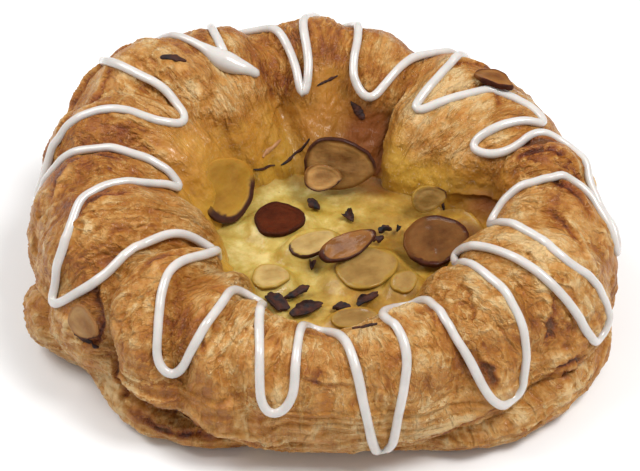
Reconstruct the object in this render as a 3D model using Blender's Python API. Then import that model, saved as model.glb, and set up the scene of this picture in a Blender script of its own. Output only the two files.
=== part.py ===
"""A ring-shaped danish pastry with a custard well, almond slices and a zigzag of white icing.

The pastry is one solid: a dough disc with a thick rolled rim, and the bead of icing fused to it.
Lengths below are millimetres and angles are degrees until mm() and radians() turn them over.
The frame has +Z up and its origin on the table, under the middle of the foot.
"""

import math

import bmesh
import bpy
import numpy as np
from mathutils import Euler, Matrix, Vector

MILLIMETRE = 0.001

# The roll: its widest level, how far the ellipse of its lower half reaches down, and the floor of the well.
ROLL_LEVEL = 16.0
ROLL_DROP = 19.0
FLOOR_LEVEL = 9.0
WELL_CENTRE = (4.0, -2.0)

# Round the ring: angle (0 right, 90 back), outer radius, radius of the crest, inner radius, height of the crest.
ROLL = [
    (0, 58.5, 45, 31, 34),
    (22, 57.2, 45, 27, 34),
    (45, 58, 44, 21.5, 34.5),
    (68, 57, 43, 19, 37.5),
    (90, 56.5, 42, 17, 39.5),
    (102, 56, 42, 18, 38),
    (115, 57.5, 42.5, 20, 40),
    (138, 63, 43.5, 20.5, 42.5),
    (160, 60.5, 42, 20.5, 39.5),
    (180, 58.5, 43, 20, 38),
    (202, 56.5, 42, 18, 36),
    (225, 51.5, 38.5, 18.5, 32),
    (250, 48.5, 37.5, 26, 28.5),
    (270, 47.5, 38.5, 29, 27),
    (295, 50.5, 40, 28, 29.5),
    (320, 55, 41, 25, 32),
    (340, 59.5, 44.5, 26, 33),
]

# The layer that the roll sits on: angle, outer radius, height, how far it tucks in at the foot.
LOWER_LAYER = [
    (0, 57, 10, 1),
    (30, 55, 9, 0),
    (60, 52, 8, 0),
    (90, 52, 8, 0),
    (120, 54, 8, 0),
    (150, 56, 9, 0),
    (176, 56, 10, 1),
    (192, 60, 18, 5),
    (206, 54, 16, 3),
    (222, 52, 12, 0),
    (238, 49.5, 9, 1),
    (256, 45, 9, 3),
    (272, 44, 8, 4),
    (295, 49, 10, 2),
    (318, 57, 12, 0),
    (340, 60, 13, 1),
]
LOWER_ROUNDING = 9.0
LOWER_FALL = 2.5
TUCK_HEIGHT = 6.0
LAYER_BLEND = 1.5
SEAM_DEPTH = 2.0
SEAM_WIDTH = 1.6

# Folds across the roll: the angle where each crosses the outer side, the crest and the inner wall,
# its depth, and how many degrees its two sides take to climb out.
FOLDS = [
    (6, 5, 2, 2.2, 7, 4),
    (20, 20, 8, 2.0, 5, 4),
    (66, 62, 57, 3.4, 5, 7),
    (84, 83, 80, 1.6, 6, 4),
    (110, 108, 100, 2.4, 5, 5),
    (128, 126, 116, 1.6, 4, 6),
    (158, 150, 134, 2.6, 7, 4),
    (172, 170, 175, 2.6, 4, 6),
    (186, 182, 180, 1.8, 4, 5),
    (198, 205, 200, 2.0, 5, 4),
    (220, 210, 213, 4.4, 7, 4),
    (237, 226, 214, 3.4, 4, 7),
    (253, 242, 236, 1.6, 4, 4),
    (284, 276, 270, 0.9, 4, 4),
    (300, 306, 304, 2.4, 4, 7),
    (320, 326, 330, 3.2, 4, 7),
    (345, 348, 352, 2.0, 4, 5),
]

# Hollows in the inner wall: angle round the ring, angle round the roll, how far each reaches, depth.
HOLLOWS = [
    (86, 138, 29, 30, 6.0),
    (12, 150, 9, 26, 4.0),
]

# The icing's zigzag, a row to each swing: angle round the ring, angle round the roll
# (0 outer side, 90 crest, 180 inner wall).
SWINGS = [
    [(119, 106), (120, 95), (119, 62), (114, 45), (110, 66), (105, 88), (101, 102)],
    [(97, 126), (92, 112), (94, 74), (88, 38), (82, 55), (79, 90), (78, 114)],
    [(71, 127), (64, 112), (61, 84), (56, 42), (53, 62), (51, 98)],
    [(49, 123), (42, 103), (34, 80), (23, 66), (24, 86), (25, 108)],
    [(25, 129), (18, 116), (16, 64), (4, 37), (353, 12), (355, 34), (2, 62), (1, 98), (358, 125)],
    [(352, 137), (343, 108), (336, 68), (337, 31), (343, -9), (334, -2), (330, 38), (331, 86), (336, 126)],
    [(336, 146), (327, 134), (322, 110), (319, 82), (317, 50), (314, 20), (314, -12), (306, -2), (304, 45)],
    [(303, 82), (307, 122), (303, 141), (290, 118), (291, 92), (291, 62), (288, 20), (284, -33)],
    [(280, 0), (279, 47), (277, 98), (272, 130), (264, 122), (264, 70), (264, 28), (260, 0)],
    [(257, 34), (254, 74), (249, 118), (244, 148), (237, 122), (239, 90), (239, 50), (235, 10)],
    [(230, 34), (226, 62), (219, 98), (216, 125), (209, 147), (203, 128), (206, 101), (209, 76), (209, 48)],
    [(203, 14), (199, 44), (195, 60), (188, 74), (184, 100), (182, 122), (179, 132), (174, 108), (172, 76)],
    [(173, 36), (171, 9), (166, 24), (162, 54), (160, 88), (159, 110), (152, 124), (146, 110), (146, 88)],
    [(144, 58), (137, 36), (130, 52), (129, 86), (127, 104), (122, 111), (115, 118)],
]
BEAD_RADIUS = 0.95
BEAD_LIFT = 0.45
BEAD_STEP = 3.1
BEAD_SAG = 0.45  # share of a fold's depth that the icing follows
BLOB_RADIUS = 2.0  # the thick end of the bead
BLOB_LENGTH = 9.0

# The custard: its level, its rise where it wets the wall, its swell in the middle and its gap to the dough.
CUSTARD_LEVEL = 17.0
CUSTARD_WETTING = 1.2
CUSTARD_SWELL = 0.6
GAP = 0.7

# Almond slices: middle (x, y, z), length, width, heading of the long axis, then tilt across and along it.
ALMOND_THICKNESS = 1.2
ALMONDS = {
    "almond_slice_back": ((4.0, 16.2, 24.0), 15.0, 11.5, -5, 74, 0),
    "almond_slice_back_small": ((0.6, 12.6, 20.6), 8.0, 5.5, 4, 52, 0),
    "almond_slice_left": ((-15.6, 9.0, 22.6), 12.0, 10.0, 58, 60, 0),
    "almond_slice_dark": ((-8.0, 4.6, 18.9), 10.4, 8.2, 8, 10, 0),
    "almond_slice_crescent": ((-1.4, -2.6, 19.6), 10.4, 6.6, 24, 14, -4),
    "almond_slice_brown": ((5.6, -4.2, 22.4), 13.0, 6.2, 34, 30, 0),
    "almond_slice_pale": ((9.4, -9.4, 18.8), 12.6, 10.4, 20, 8, 0),
    "almond_slice_right": ((22.2, -1.4, 20.2), 14.0, 10.6, 30, 20, 0),
    "almond_slice_sunk": ((-9.6, -11.0, 19.1), 7.6, 6.6, 10, 4, 0),
    "almond_slice_front": ((6.6, -23.4, 18.9), 9.0, 5.0, 10, 16, 0),
    "almond_slice_rim": ((16.6, -13.4, 18.8), 6.4, 4.6, 48, 12, 0),
    "almond_slice_upright": ((22.0, 8.8, 21.2), 7.6, 5.4, 18, 62, 0),
    "almond_slice_outer": ((-44.6, -29.8, 23.6), 8.4, 5.8, -49, 62, 0),
    "almond_slice_crest": ((35.6, 29.3, 35.9), 9.0, 6.0, -36, -12, 0),
}

# Broken bits of almond skin, fused to the custard: middle (x, y), length, width, heading.
SKIN_THICKNESS = 1.6
SKIN_BITS = [
    (-8.6, -18.4, 6.0, 3.4, 125),
    (-4.2, -15.2, 6.0, 1.6, 38),
    (-2.8, -20.2, 7.0, 2.4, 24),
    (4.4, -20.0, 3.6, 2.4, -15),
    (9.2, -17.4, 5.4, 1.6, 36),
    (-1.2, 11.0, 3.2, 1.8, -60),
    (6.0, 7.0, 2.8, 1.8, -60),
    (13.2, 2.8, 3.0, 1.2, 20),
]

# Faces: columns round the ring, rows up the roll, rings of the custard and sides of a slice.
COLUMNS = 108
ROWS = 23
CUSTARD_COLUMNS = 54
CUSTARD_RINGS = (0.2, 0.45, 0.7, 0.9)
ALMOND_SIDES = 14
SKIN_SIDES = 7

COLOURS = {
    "dough": (0.48, 0.225, 0.07),
    "custard": (0.52, 0.37, 0.095),
    "almond": (0.42, 0.24, 0.09),
}


def mm(value):
    return value * MILLIMETRE


def unit(vectors):
    return vectors / np.linalg.norm(vectors, axis=-1, keepdims=True)


def around(theta, rows, column):
    """The value of a column at the angle theta, on a smooth closed curve through the rows."""
    angles = np.array([row[0] for row in rows], float)
    values = np.array([row[column] for row in rows], float)
    turned = np.degrees(theta) % 360
    index = (np.searchsorted(angles, turned, side="right") - 1) % len(rows)
    angles = np.concatenate([angles[-1:] - 360, angles, angles[:2] + 360])
    values = np.concatenate([values[-1:], values, values[:2]])
    slopes = (values[2:] - values[:-2]) / (angles[2:] - angles[:-2])
    step = angles[index + 2] - angles[index + 1]
    s = (turned - angles[index + 1]) / step
    leaving = values[index + 1] * (1 + 2 * s) + step * slopes[index] * s
    arriving = values[index + 2] * (3 - 2 * s) + step * slopes[(index + 1) % len(rows)] * (s - 1)
    return leaving * (1 - s) ** 2 + arriving * s**2


def roll_section(theta, phi):
    """Radius and height of the bare roll at the angle phi round it."""
    outer, crest, inner, height = (around(theta, ROLL, column) for column in (1, 2, 3, 4))
    c, s = np.cos(phi), np.sin(phi)
    radius = crest + np.where(c > 0, outer - crest, crest - inner) * c
    level = ROLL_LEVEL + np.where(s > 0, height - ROLL_LEVEL, ROLL_DROP) * s
    return radius, level


def lower_layer_radius(theta, level):
    outer, height = (around(theta, LOWER_LAYER, column) for column in (1, 2))
    half = height / 2 + 0.5
    across = np.clip((level - height + half) / half, -1, 1)
    above = np.maximum(level - height, 0)
    return outer - LOWER_ROUNDING * (1 - np.sqrt(1 - across**2)) - LOWER_FALL * above


def smooth_maximum(a, b, width):
    closeness = np.maximum(width - np.abs(a - b), 0) / width
    return np.maximum(a, b) + closeness**2 * width / 4


def fold_depth(theta, phi):
    """How far the folds sink the roll's surface."""
    turned, lifted = np.degrees(theta), np.degrees(phi)
    share = np.clip(lifted / 180, 0, 1)
    fade = np.clip((lifted + 30) / 40, 0, 1) * np.clip((195 - lifted) / 40, 0, 1)
    depth = np.zeros(np.broadcast(turned, lifted).shape)
    for at_outer, at_crest, at_inner, deep, before, after in FOLDS:
        line = at_outer * (1 - share) * (1 - 2 * share)
        line = line + at_crest * 4 * share * (1 - share) + at_inner * share * (2 * share - 1)
        off = (turned - line + 180) % 360 - 180
        depth = depth + deep * fade * np.exp(-((off / np.where(off < 0, before, after)) ** 2))
    for at, up, reach, rise, deep in HOLLOWS:
        off = (turned - at + 180) % 360 - 180
        depth = depth + deep * np.exp(-((off / reach) ** 6) - ((lifted - up) / rise) ** 2)
    return depth


def surface(theta, phi, folding=1.0):
    """A point of the pastry's surface, with the share folding of the folds' depth."""
    radius, level = roll_section(theta, phi)
    depth = folding * fold_depth(theta, phi)
    radius = radius - depth * np.cos(phi)
    level = np.maximum(level - depth * np.maximum(np.sin(phi), -0.2), 0)
    lower = lower_layer_radius(theta, level)
    seam = SEAM_DEPTH * np.exp(-(((radius - lower) / SEAM_WIDTH) ** 2)) * np.clip(level / 4, 0, 1)
    outside = smooth_maximum(radius, lower, LAYER_BLEND) - folding * seam
    tuck = around(theta, LOWER_LAYER, 3) * np.clip(1 - level / TUCK_HEIGHT, 0, 1) ** 2
    radius = np.where(phi < math.pi / 2, outside - tuck, radius)
    return np.stack([radius * np.cos(theta), radius * np.sin(theta), level], -1)


def normal(theta, phi):
    step = 0.002
    along = surface(theta + step, phi) - surface(theta - step, phi)
    up = surface(theta, phi + step) - surface(theta, phi - step)
    return unit(np.cross(along, up))


def resampled(step, line, *more):
    """The line, and more lines that run beside it, at even steps along the first."""
    lengths = np.linalg.norm(np.diff(line, axis=0), axis=1)
    along = np.concatenate([[0], np.cumsum(lengths)])
    places = np.linspace(0, along[-1], round(along[-1] / step) + 1)
    return [
        np.stack([np.interp(places, along, column) for column in each.T], -1)
        for each in (line, *more)
    ]


def smoothed(line, reach):
    """The line with each point moved to the mean of its neighbours, reach of them on each side."""
    weights = np.hanning(2 * reach + 3)[1:-1]
    before = 2 * line[:1] - line[reach:0:-1]
    after = 2 * line[-1:] - line[-2 : -reach - 2 : -1]
    longer = np.concatenate([before, line, after])
    columns = [np.convolve(column, weights / weights.sum(), "valid") for column in longer.T]
    return np.stack(columns, -1)


def icing_angles():
    """The zigzag's angles on a smooth curve through its knots."""
    knots = np.radians([knot for swing in SWINGS for knot in swing])
    knots[:, 0] = np.unwrap(knots[:, 0])
    places = surface(knots[:, 0], knots[:, 1])
    chords = np.linalg.norm(np.diff(places, axis=0), axis=1)
    time = np.concatenate([[0], np.cumsum(np.sqrt(chords))])
    slopes = np.zeros_like(knots)
    slopes[1:-1] = (knots[2:] - knots[:-2]) / (time[2:] - time[:-2])[:, None]
    s = np.linspace(0, 1, 24, endpoint=False)[:, None]
    pieces = []
    for i, step in enumerate(np.diff(time)):
        leaving = knots[i] * (1 + 2 * s) + step * slopes[i] * s
        arriving = knots[i + 1] * (3 - 2 * s) + step * slopes[i + 1] * (s - 1)
        pieces.append(leaving * (1 - s) ** 2 + arriving * s**2)
    return np.concatenate([*pieces, knots[-1:]])


def icing_line(step):
    """The middle of the bead, which bridges the folds and lies on the dough elsewhere."""
    fine = 0.25
    reach = round(2.5 / fine)
    theta, phi = icing_angles().T
    line, full = resampled(fine, surface(theta, phi, BEAD_SAG), normal(theta, phi))
    outward = unit(smoothed(full, reach))
    eased = smoothed(line, reach)
    sunk = np.sum((line - eased) * outward, axis=1)
    eased += (np.maximum(sunk, 0) + BEAD_LIFT)[:, None] * outward
    return resampled(step, eased)[0]


def new_object(name, mesh, collection):
    piece = bpy.data.objects.new(name, mesh)
    collection.objects.link(piece)
    return piece


def sphere_mesh(name, columns, rings, place):
    """A sphere primitive whose points are moved to place(angle, ring), ring 0 being its top."""
    grid = bmesh.new()
    bmesh.ops.create_uvsphere(grid, u_segments=columns, v_segments=rings, radius=1)
    for point in grid.verts:
        ring = round(math.acos(max(-1, min(1, point.co.z))) / math.pi * rings)
        angle = math.atan2(point.co.y, point.co.x)
        point.co = Vector(place(angle, ring)) * MILLIMETRE
    bmesh.ops.triangulate(grid, faces=grid.faces)
    bmesh.ops.recalc_face_normals(grid, faces=grid.faces)
    mesh = bpy.data.meshes.new(name)
    grid.to_mesh(mesh)
    grid.free()
    mesh.shade_smooth()
    return mesh


def pastry_mesh():
    """Foot, outer side, crest, inner wall and floor of the well, as one sphere pulled into shape."""
    lowest = -math.asin(ROLL_LEVEL / ROLL_DROP)
    highest = math.pi + math.asin((ROLL_LEVEL - FLOOR_LEVEL) / ROLL_DROP)
    rings = ROWS + 2

    def place(angle, ring):
        if ring == 0:
            return (*WELL_CENTRE, FLOOR_LEVEL)
        if ring == rings:
            return (*WELL_CENTRE, 0)
        phi = lowest + (highest - lowest) * (rings - 1 - ring) / ROWS
        return surface(np.float64(angle), np.float64(phi))

    return sphere_mesh("pastry", COLUMNS, rings, place)


def bead_curve(collection):
    line = icing_line(BEAD_STEP)
    curve = bpy.data.curves.new("icing_bead", "CURVE")
    curve.dimensions = "3D"
    curve.bevel_depth = mm(BEAD_RADIUS)
    curve.bevel_resolution = 1
    curve.use_fill_caps = True
    spline = curve.splines.new("POLY")
    spline.points.add(len(line) - 1)
    left = np.arange(len(line))[::-1] * BEAD_STEP
    swelling = 1 + (BLOB_RADIUS / BEAD_RADIUS - 1) * np.clip(1 - np.abs(left - 4) / BLOB_LENGTH, 0, 1)
    for point, place, radius in zip(spline.points, line, swelling):
        point.co = (*(place * MILLIMETRE), 1)
        point.radius = radius
    return new_object("icing_bead", curve, collection)


def curve_to_mesh(curve_object, collection):
    """The curve's tube as a closed mesh object, in place of the curve."""
    evaluated = curve_object.evaluated_get(bpy.context.evaluated_depsgraph_get())
    mesh = bpy.data.meshes.new_from_object(evaluated)
    tube = bmesh.new()
    tube.from_mesh(mesh)
    bmesh.ops.remove_doubles(tube, verts=tube.verts, dist=mm(0.001))
    bmesh.ops.recalc_face_normals(tube, faces=tube.faces)
    tube.to_mesh(mesh)
    tube.free()
    piece = new_object(curve_object.name + "_mesh", mesh, collection)
    piece.matrix_world = curve_object.matrix_world
    bpy.data.objects.remove(curve_object)
    return piece


def fuse(piece, toppings, solver):
    """Joins a collection of toppings to the piece, and removes them."""
    union = piece.modifiers.new("fused", "BOOLEAN")
    union.operation = "UNION"
    union.operand_type = "COLLECTION"
    union.collection = toppings
    union.solver = solver
    bpy.context.view_layer.objects.active = piece
    bpy.ops.object.modifier_apply(modifier=union.name)
    for topping in list(toppings.objects):
        bpy.data.objects.remove(topping)
    bpy.data.collections.remove(toppings)


def largest_body(mesh):
    """Drops the loose scraps and sealed hollows that a union may leave."""
    grid = bmesh.new()
    grid.from_mesh(mesh)
    unseen = set(grid.verts)
    bodies = []
    while unseen:
        body, edge = set(), {next(iter(unseen))}
        while edge:
            body |= edge
            edge = {link.other_vert(v) for v in edge for link in v.link_edges} - body
        bodies.append(body)
        unseen -= body
    keep = max(bodies, key=len)
    bmesh.ops.delete(grid, geom=[v for v in grid.verts if v not in keep], context="VERTS")
    grid.to_mesh(mesh)
    grid.free()


def custard_level(x, y, share):
    """The custard's level at a share of the way from its middle to the wall."""
    swell = CUSTARD_SWELL * math.cos(0.21 * x + 0.4) * math.cos(0.26 * y)
    return CUSTARD_LEVEL + swell * (1 - share**4) + CUSTARD_WETTING * share**12


def custard_mesh():
    rings = len(CUSTARD_RINGS) + 3
    middle = np.array(WELL_CENTRE)

    def place(angle, ring):
        if ring == rings:
            return (*middle, FLOOR_LEVEL + GAP)
        if ring == 0:
            return (*middle, custard_level(*middle, 0))
        radius = around(np.float64(angle), ROLL, 3) - GAP
        rim = radius * np.array([math.cos(angle), math.sin(angle)])
        if ring > len(CUSTARD_RINGS):
            at_floor = ring == rings - 1
            return (*rim, FLOOR_LEVEL + GAP if at_floor else CUSTARD_LEVEL + CUSTARD_WETTING)
        share = CUSTARD_RINGS[ring - 1]
        x, y = middle + share * (rim - middle)
        return (x, y, custard_level(x, y, share))

    return sphere_mesh("custard", CUSTARD_COLUMNS, rings, place)


def plate_mesh(name, length, width, thickness, sides, bend):
    """A thin egg-shaped plate with a rounded edge, its blunt end at -X, bowed by bend."""

    def place(angle, ring):
        share, level = ((0, 1), (0.86, 1), (1, 0), (0.86, -1), (0, -1))[ring]
        x = share * math.cos(angle)
        y = share * math.sin(angle) * (1 - 0.22 * math.cos(angle))
        return (x * length / 2, y * width / 2, level * thickness / 2 + bend * (1 - x * x))

    return sphere_mesh(name, sides, 4, place)


def add_almonds(collection, material):
    for name, (middle, length, width, heading, across, along) in ALMONDS.items():
        bend = 0.05 * length if across < 40 else 0.02 * length
        mesh = plate_mesh(name, length, width, ALMOND_THICKNESS, ALMOND_SIDES, bend)
        mesh.materials.append(material)
        piece = new_object(name, mesh, collection)
        piece.location = Vector(middle) * MILLIMETRE
        turn = Matrix.Rotation(math.radians(heading), 4, "Z")
        tilt = Euler((math.radians(across), math.radians(along), 0)).to_matrix().to_4x4()
        piece.rotation_euler = (turn @ tilt).to_euler()


def add_skin_bits(collection):
    for index, (x, y, length, width, heading) in enumerate(SKIN_BITS):
        mesh = plate_mesh("skin_bit", length, width, SKIN_THICKNESS, SKIN_SIDES, 0)
        piece = new_object(f"skin_bit_{index}", mesh, collection)
        piece.location = Vector((x, y, CUSTARD_LEVEL + 0.6)) * MILLIMETRE
        piece.rotation_euler = (0, 0, math.radians(heading))


def food_material(name, colour, roughness):
    material = bpy.data.materials.new(name)
    material.use_nodes = True
    shader = material.node_tree.nodes["Principled BSDF"]
    shader.inputs["Base Color"].default_value = (*colour, 1)
    shader.inputs["Roughness"].default_value = roughness
    shader.inputs["Metallic"].default_value = 0
    return material


def new_collection(name):
    collection = bpy.data.collections.new(name)
    bpy.context.scene.collection.children.link(collection)
    return collection


def main():
    for leftover in list(bpy.data.objects):
        bpy.data.objects.remove(leftover)
    danish = new_collection("danish")

    pastry = new_object("pastry", pastry_mesh(), danish)
    pastry.data.materials.append(food_material("dough", COLOURS["dough"], 0.45))
    toppings = new_collection("icing")
    curve_to_mesh(bead_curve(toppings), toppings)
    fuse(pastry, toppings, "MANIFOLD")
    largest_body(pastry.data)

    custard = new_object("custard", custard_mesh(), danish)
    custard.data.materials.append(food_material("custard", COLOURS["custard"], 0.3))
    bits = new_collection("skin_bits")
    add_skin_bits(bits)
    fuse(custard, bits, "MANIFOLD")
    largest_body(custard.data)

    add_almonds(danish, food_material("almond", COLOURS["almond"], 0.35))


main()
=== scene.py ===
"""The looks of the danish pastry: flaky crust, custard, glazed almond slices and icing.

Shapes are worked out in millimetres, from the same roll, folds and zigzag as the CAD model, and
turned to metres where a mesh is made.
"""

import math

import bpy
import numpy as np
from mathutils import Euler, Matrix, Vector, noise


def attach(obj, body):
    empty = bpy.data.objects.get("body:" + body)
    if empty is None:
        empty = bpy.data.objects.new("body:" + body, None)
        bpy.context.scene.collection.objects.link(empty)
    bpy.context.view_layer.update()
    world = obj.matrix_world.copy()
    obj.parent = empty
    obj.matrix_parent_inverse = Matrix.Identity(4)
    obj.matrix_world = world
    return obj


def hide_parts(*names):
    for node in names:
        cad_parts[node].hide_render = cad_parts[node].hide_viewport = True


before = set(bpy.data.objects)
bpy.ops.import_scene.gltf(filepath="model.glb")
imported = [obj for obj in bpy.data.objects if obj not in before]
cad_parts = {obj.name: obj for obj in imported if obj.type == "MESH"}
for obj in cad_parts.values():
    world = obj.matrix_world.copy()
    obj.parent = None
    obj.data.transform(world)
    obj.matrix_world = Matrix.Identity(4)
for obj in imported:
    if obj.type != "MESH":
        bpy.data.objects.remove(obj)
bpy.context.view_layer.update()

MILLIMETRE = 0.001
BODY = "root"

# The roll: its widest level, how far the ellipse of its lower half reaches down, and the floor of the well.
ROLL_LEVEL = 16.0
ROLL_DROP = 19.0
FLOOR_LEVEL = 9.0
WELL_CENTRE = (4.0, -2.0)

# Round the ring: angle (0 right, 90 back), outer radius, radius of the crest, inner radius, height of
# the crest.
ROLL = [
    (0, 58.5, 45, 31, 34),
    (22, 57.2, 45, 27, 34),
    (45, 58, 44, 21.5, 34.5),
    (68, 57, 43, 19, 37.5),
    (90, 56.5, 42, 17, 39.5),
    (102, 56, 42, 18, 38),
    (115, 57.5, 42.5, 20, 40),
    (138, 63, 43.5, 20.5, 42.5),
    (160, 60.5, 42, 20.5, 39.5),
    (180, 58.5, 43, 20, 38),
    (202, 56.5, 42, 18, 36),
    (225, 51.5, 38.5, 18.5, 32),
    (250, 48.5, 37.5, 26, 28.5),
    (270, 47.5, 38.5, 29, 27),
    (295, 50.5, 40, 28, 29.5),
    (320, 55, 41, 25, 32),
    (340, 59.5, 44.5, 26, 33),
]

# The layer that the roll sits on: angle, outer radius, height, how far it tucks in at the foot.
LOWER_LAYER = [
    (0, 57, 10, 1),
    (30, 55, 9, 0),
    (60, 52, 8, 0),
    (90, 52, 8, 0),
    (120, 54, 8, 0),
    (150, 56, 9, 0),
    (176, 56, 10, 1),
    (192, 60, 18, 5),
    (206, 54, 16, 3),
    (222, 52, 12, 0),
    (238, 49.5, 9, 1),
    (256, 45, 9, 3),
    (272, 44, 8, 4),
    (295, 49, 10, 2),
    (318, 57, 12, 0),
    (340, 60, 13, 1),
]
LOWER_ROUNDING = 9.0
LOWER_FALL = 2.5
TUCK_HEIGHT = 6.0
LAYER_BLEND = 1.5
SEAM_DEPTH = 2.0
SEAM_WIDTH = 1.6

# Folds across the roll: the angle where each crosses the outer side, the crest and the inner wall,
# its depth, and how many degrees its two sides take to climb out.
FOLDS = [
    (6, 5, 2, 2.2, 7, 4),
    (20, 20, 8, 2.0, 5, 4),
    (66, 62, 57, 3.4, 5, 7),
    (84, 83, 80, 1.6, 6, 4),
    (110, 108, 100, 2.4, 5, 5),
    (128, 126, 116, 1.6, 4, 6),
    (158, 150, 134, 2.6, 7, 4),
    (172, 170, 175, 2.6, 4, 6),
    (186, 182, 180, 1.8, 4, 5),
    (198, 205, 200, 2.0, 5, 4),
    (220, 210, 213, 4.4, 7, 4),
    (237, 226, 214, 3.4, 4, 7),
    (253, 242, 236, 1.6, 4, 4),
    (284, 276, 270, 0.9, 4, 4),
    (300, 306, 304, 2.4, 4, 7),
    (320, 326, 330, 3.2, 4, 7),
    (345, 348, 352, 2.0, 4, 5),
]

# Hollows in the inner wall: angle round the ring, angle round the roll, how far each reaches, depth.
HOLLOWS = [
    (86, 138, 29, 30, 6.0),
    (12, 150, 9, 26, 4.0),
]

# The icing's zigzag, a row to each swing: angle round the ring, angle round the roll
# (0 outer side, 90 crest, 180 inner wall).
SWINGS = [
    [(121.5, 107), (120.5, 94), (118, 68), (114, 45), (108, 58), (102.5, 77), (100, 96), (98.5, 110)],
    [(96.5, 128), (94, 112), (94.5, 86), (92, 60), (88, 38), (82, 55), (79, 90), (78, 114)],
    [(71, 127), (67, 114), (64.5, 98), (61, 76), (56, 42), (53, 62), (52, 98)],
    [(50.5, 126), (42, 103), (34, 80), (23, 66), (24, 86), (25, 108)],
    [(25, 129), (18, 116), (16, 64), (4, 37), (353, 12), (355, 34), (2, 62), (1, 98), (359, 130)],
    [(353, 145), (343, 108), (336.5, 70), (338, 36), (338.5, 3), (333.5, -3), (330.5, 36), (331, 86),
     (335, 128)],
    [(338, 154), (327, 134), (322, 110), (319.5, 82), (318, 50), (316, 20), (314, -7), (307.5, 0),
     (304.5, 45)],
    [(303, 82), (306.5, 130), (302, 148), (290, 118), (291, 92), (291, 62), (288, 20), (286, -24),
     (284, -35)],
    [(282, -22), (280, 8), (279, 47), (277, 98), (272, 138), (265, 138), (264, 70), (264, 28),
     (262, 11), (259.5, 4)],
    [(257, 17), (256, 40), (254, 74), (249, 118), (245, 150), (236.5, 130), (239, 90), (239, 50),
     (237, 22), (234, 14)],
    [(231, 23), (229, 42), (226, 64), (220, 98), (217, 128), (207.5, 157), (203, 128), (206, 101),
     (209, 76), (209, 48), (205, 20)],
    [(202, 12), (201, 22), (199.5, 44), (197, 60), (191, 76), (187, 98), (183, 120), (177.5, 137),
     (174, 110), (172, 76)],
    [(173, 36), (171, 9), (168, 24), (164, 56), (160, 88), (159, 110), (152, 124), (146, 110), (146, 88)],
    [(144, 58), (137, 36), (130, 52), (129, 82), (126.5, 97), (122.5, 107), (118, 113), (113, 117)],
]
BEAD_RADIUS = 0.9
BEAD_LIFT = 0.15
BEAD_SAG = 0.7  # share of a fold's depth that the icing follows
BEAD_EASING = 4.5  # length over which its line is evened out
BEAD_WOBBLE = 0.10
BLOB_RADIUS = 2.2
BLOB_BACK = 7.5  # from the end of the icing to the widest part of the blob
BLOB_LENGTH = 4.2

CUSTARD_LEVEL = 17.0
CUSTARD_WETTING = 1.2  # how far it climbs the wall
CUSTARD_SWELL = 0.6
CUSTARD_REACH = 2.4  # how far its rim runs into the wall
CUSTARD_SKIRT = 1.0  # its lower edge, above the floor of the well
SLICE_SHOWING = 0.15  # how far it stays below the middle of a sunk slice

# Almond slices: middle (x, y, z), length, width, heading of the long axis, tilt across and along it, look,
# and where the rim has skin: directions seen from above (270 faces the camera) and how far to each side.
ALMONDS = {
    "almond_slice_back": ((4.0, 16.2, 24.0), 15.0, 11.5, -5, 74, 0, "amber", [(70, 85), (180, 20)]),
    "almond_slice_back_small": ((0.6, 13.9, 22.4), 8.0, 5.5, 4, 56, 0, "amber", [(270, 80)]),
    "almond_slice_left": ((-18.6, 9.4, 23.4), 14.0, 13.0, 48, 60, 0, "clear", [(315, 80)]),
    "almond_slice_dark": ((-8.0, 4.6, 18.9), 10.4, 8.2, 8, 10, 0, "skin", [(270, 180)]),
    "almond_slice_crescent": ((-1.4, -2.6, 19.6), 10.4, 6.6, 24, 14, -4, "cream", [(250, 70)]),
    "almond_slice_brown": ((5.4, -5.6, 21.8), 13.0, 6.0, 32, 34, 0, "brown", [(285, 95), (40, 30)]),
    "almond_slice_pale": ((9.4, -9.4, 18.8), 12.6, 10.4, 20, 8, 0, "pale", []),
    "almond_slice_right": ((23.2, -3.0, 20.2), 14.0, 10.6, 30, 20, 0, "dark", [(60, 60), (270, 50)]),
    "almond_slice_sunk": ((-9.6, -12.2, 18.9), 7.6, 6.6, 10, 4, 0, "cream", []),
    "almond_slice_front": ((6.6, -23.4, 18.9), 9.0, 5.0, 10, 16, 0, "pale", []),
    "almond_slice_rim": ((16.6, -13.4, 18.8), 6.4, 4.6, 48, 12, 0, "pale", []),
    "almond_slice_upright": ((22.0, 8.8, 21.2), 7.6, 5.4, 18, 62, 0, "pale", [(40, 40)]),
    "almond_slice_outer": ((-44.6, -29.8, 23.6), 8.4, 5.8, -49, 62, 0, "baked", [(255, 45)]),
    "almond_slice_crest": ((35.6, 29.3, 35.4), 9.0, 6.0, -36, -17, 0, "brown", [(90, 60), (270, 60)]),
}
SLICE_THICKNESS = 0.8
FLAT_BEND = 0.05  # how far a slice that lies flat is bowed, as a share of its length
STEEP_BEND = 0.02

# How far the skin stands out, and how wide it is, as a share of the way to the middle: on most slices, and
# on some.
SKIN_THICKNESS = 0.22
SKIN_WIDTH = 0.07
SKIN_WIDTHS = {"almond_slice_left": 0.20, "almond_slice_brown": 0.15, "almond_slice_right": 0.11}

# Half slices: how wide the far side of each is, as a share of the near side.
HALVED = {"almond_slice_crescent": 0.6, "almond_slice_brown": 0.7, "almond_slice_front": 0.7}

# The slices that lie in the custard.
SUNK = [f"almond_slice_{name}" for name in ("dark", "crescent", "pale", "sunk", "front", "rim")]

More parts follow.
